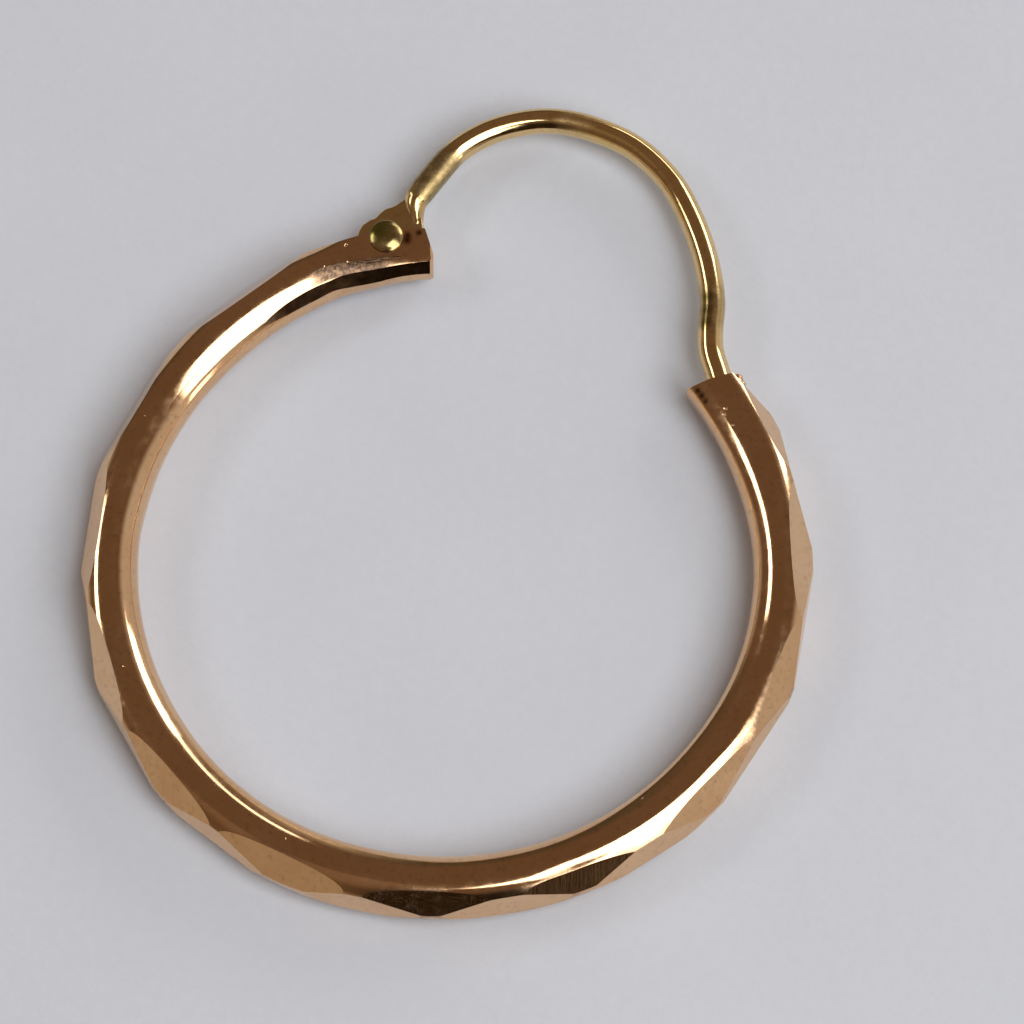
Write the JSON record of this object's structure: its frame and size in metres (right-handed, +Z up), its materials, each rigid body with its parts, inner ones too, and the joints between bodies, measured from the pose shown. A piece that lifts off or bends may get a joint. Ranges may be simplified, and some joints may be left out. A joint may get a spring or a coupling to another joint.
{
  "type": "hinged hoop earring",
  "caption": "Open ring of faceted hollow tube, with a thin ear wire hinged at one end of the ring and resting in the open mouth of the other.",
  "frame": {"origin": "centre of the bounding box on the surface that the hoop lies on", "axes": "+Z up, square to the plane of the hoop; +Y from the bottom of the ring to the arch of the ear wire; +X towards the open mouth"},
  "size_m": [0.0222, 0.026, 0.0018],
  "materials": {
    "hoop_rose_gold": "polished, worn",
    "wire_yellow_gold": "polished, worn",
    "rivet_gold": "polished"
  },
  "bodies": {
    "hoop": {"hoop_tube": "hoop_rose_gold", "hinge_rivet": "rivet_gold"},
    "ear_wire": {"ear_wire": "wire_yellow_gold"}
  },
  "joints": [
    {"name": "ear_wire_hinge", "type": "hinge", "parent": "hoop", "child": "ear_wire", "pos_m": [-0.00192, 0.00848, 0.00089], "axis": [0, 0, 1], "range_deg": [0, 75]}
  ]
}
